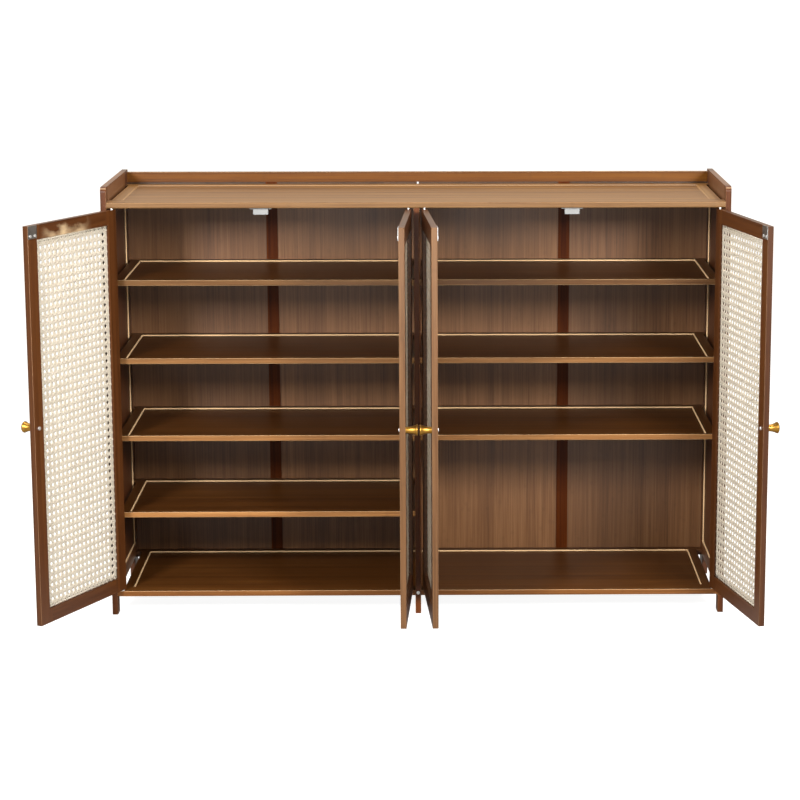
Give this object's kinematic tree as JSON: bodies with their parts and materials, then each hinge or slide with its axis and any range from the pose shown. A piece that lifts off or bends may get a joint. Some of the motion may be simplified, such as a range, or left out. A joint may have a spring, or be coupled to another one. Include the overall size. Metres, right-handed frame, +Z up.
{
  "type": "shoe cabinet",
  "caption": "Wide low shoe cabinet in stained bamboo with a gallery rim, open-back shelving in two bays, cane-filled doors on pivot pins and flared brass knobs.",
  "frame": {"origin": "on the floor, in the middle of the sole of the centre post, on the cabinet's centre line", "axes": "+X to the right seen from the front, +Y from the front to the back, +Z up"},
  "size_m": [1.3917, 0.6111, 0.84],
  "materials": {
    "side_wood": "satin brown stain on bamboo",
    "top_wood": "satin brown stain on bamboo",
    "shelf_wood": "satin brown stain on bamboo",
    "back_wood": "satin brown stain on bamboo",
    "door_wood": "satin brown stain on bamboo",
    "cane_webbing": "natural woven cane",
    "knob_brass": "polished",
    "zinc_plate": "zinc plated",
    "screw_steel": "zinc plated",
    "pin_steel": "bright zinc",
    "white_plastic": "moulded"
  },
  "bodies": {
    "carcass": {"left_front_leg": "side_wood", "left_rear_leg": "side_wood", "left_top_rail": "side_wood", "left_bottom_rail": "side_wood", "left_side_panel": "side_wood", "right_front_leg": "side_wood", "right_rear_leg": "side_wood", "right_top_rail": "side_wood", "right_bottom_rail": "side_wood", "right_side_panel": "side_wood", "top_frame": "top_wood", "top_panel": "top_wood", "bottom_frame": "shelf_wood", "bottom_panel": "shelf_wood", "left_shelf_1_frame": "shelf_wood", "left_shelf_1_panel": "shelf_wood", "left_shelf_2_frame": "shelf_wood", "left_shelf_2_panel": "shelf_wood", "left_shelf_3_frame": "shelf_wood", "left_shelf_3_panel": "shelf_wood", "left_shelf_4_frame": "shelf_wood", "left_shelf_4_panel": "shelf_wood", "right_shelf_1_frame": "shelf_wood", "right_shelf_1_panel": "shelf_wood", "right_shelf_2_frame": "shelf_wood", "right_shelf_2_panel": "shelf_wood", "right_shelf_3_frame": "shelf_wood", "right_shelf_3_panel": "shelf_wood", "left_back_batten": "back_wood", "left_outer_back_sheet": "back_wood", "left_inner_back_sheet": "back_wood", "right_back_batten": "back_wood", "right_outer_back_sheet": "back_wood", "right_inner_back_sheet": "back_wood", "back_lip": "top_wood", "centre_post": "side_wood", "centre_divider": "side_wood", "hinge_pins": "pin_steel", "magnetic_catches": "white_plastic", "fixing_screws": "screw_steel"},
    "outer_left_door": {"outer_left_door_frame": "door_wood", "outer_left_door_cane": "cane_webbing", "outer_left_door_knob": "knob_brass", "outer_left_door_strike_plate": "zinc_plate", "outer_left_door_screws": "screw_steel"},
    "centre_left_door": {"centre_left_door_frame": "door_wood", "centre_left_door_cane": "cane_webbing", "centre_left_door_knob": "knob_brass", "centre_left_door_strike_plate": "zinc_plate", "centre_left_door_screws": "screw_steel"},
    "centre_right_door": {"centre_right_door_frame": "door_wood", "centre_right_door_cane": "cane_webbing", "centre_right_door_knob": "knob_brass", "centre_right_door_strike_plate": "zinc_plate", "centre_right_door_screws": "screw_steel"},
    "outer_right_door": {"outer_right_door_frame": "door_wood", "outer_right_door_cane": "cane_webbing", "outer_right_door_knob": "knob_brass", "outer_right_door_strike_plate": "zinc_plate", "outer_right_door_screws": "screw_steel"}
  },
  "joints": [
    {"name": "outer_left_door_hinge", "type": "hinge", "parent": "carcass", "child": "outer_left_door", "pos_m": [-0.5794, -0.0085, 0.42375], "axis": [0, 0, -1], "range_deg": [-116, 1.98]},
    {"name": "centre_left_door_hinge", "type": "hinge", "parent": "carcass", "child": "centre_left_door", "pos_m": [-0.0151, -0.0085, 0.42375], "axis": [0, 0, 1], "range_deg": [-88, 0]},
    {"name": "centre_right_door_hinge", "type": "hinge", "parent": "carcass", "child": "centre_right_door", "pos_m": [0.0151, -0.0085, 0.42375], "axis": [0, 0, -1], "range_deg": [-86, 0]},
    {"name": "outer_right_door_hinge", "type": "hinge", "parent": "carcass", "child": "outer_right_door", "pos_m": [0.5794, -0.0085, 0.42375], "axis": [0, 0, 1], "range_deg": [-102.5, 15.48]}
  ]
}
